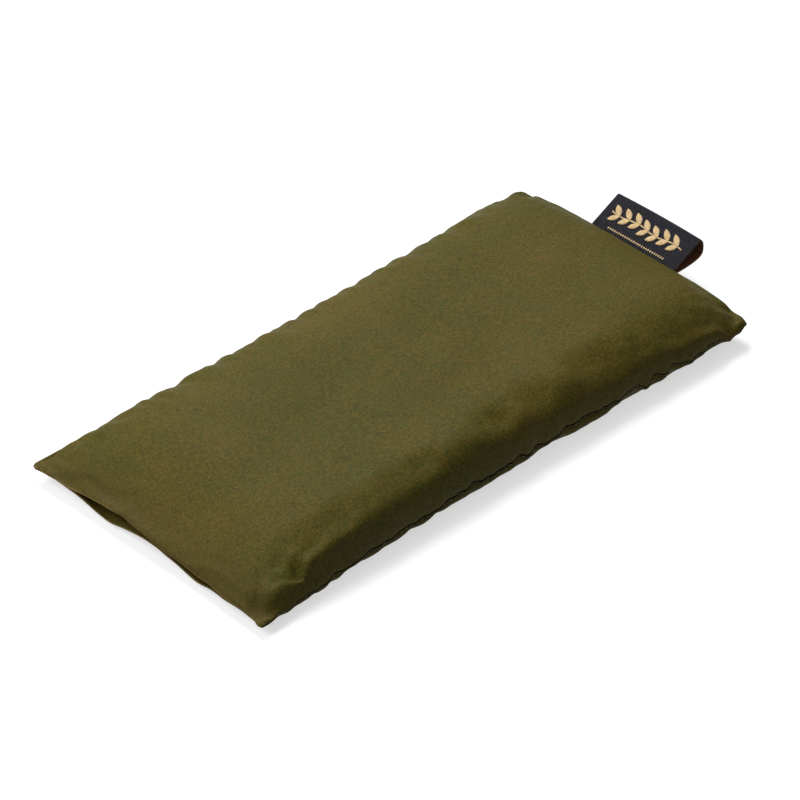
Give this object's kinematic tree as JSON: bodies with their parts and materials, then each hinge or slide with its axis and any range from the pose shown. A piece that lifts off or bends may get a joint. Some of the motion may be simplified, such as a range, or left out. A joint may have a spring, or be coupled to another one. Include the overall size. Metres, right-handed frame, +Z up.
{
  "type": "eye pillow",
  "caption": "Flat oblong relaxation eye pillow: a satin sleeve with one open end around a removable seed-filled inner bag, with a folded ribbon label in the end seam.",
  "frame": {"origin": "centre of the flat underside, on the surface the pillow lies on", "axes": "+X along the pillow to the labelled, sewn end (the open mouth faces -X), +Y across it, +Z up"},
  "size_m": [0.2371, 0.11, 0.021],
  "materials": {
    "satin": "olive satin weave with a soft sheen",
    "satin_thread": "olive sewing thread",
    "label_ribbon": "black woven ribbon, finely ribbed",
    "label_motif": "gold yarn woven into the ribbon",
    "bag_cotton": "unbleached cotton, plain weave",
    "cotton_thread": "natural sewing thread",
    "linseed": "glossy brown seeds with dried lavender"
  },
  "bodies": {
    "sleeve": {"cover_top_panel": "satin", "cover_bottom_panel": "satin", "side_seam_thread_right": "satin_thread", "side_seam_thread_left": "satin_thread", "end_seam_thread": "satin_thread", "mouth_hem_thread_upper": "satin_thread", "mouth_hem_thread_lower": "satin_thread"},
    "inner_pillow": {"inner_bag_top": "bag_cotton", "inner_bag_bottom": "bag_cotton", "inner_bag_seam_thread": "cotton_thread", "inner_bag_closing_thread": "cotton_thread", "linseed_filling": "linseed"},
    "label": {"loop_label": "label_ribbon"}
  },
  "joints": [
    {"name": "inner_pillow_slide", "type": "slide", "parent": "sleeve", "child": "inner_pillow", "axis": [-1, 0, 0], "range_m": [0, 0.22], "deforming": ["cover_top_panel", "cover_bottom_panel", "mouth_hem_thread_upper", "mouth_hem_thread_lower"]},
    {"name": "label_flex", "type": "hinge", "parent": "sleeve", "child": "label", "pos_m": [0.1115, 0, 0.0095], "axis": [0, -1, 0], "range_deg": [-30, 45], "stiffness_Nm_per_rad": 0.004}
  ]
}
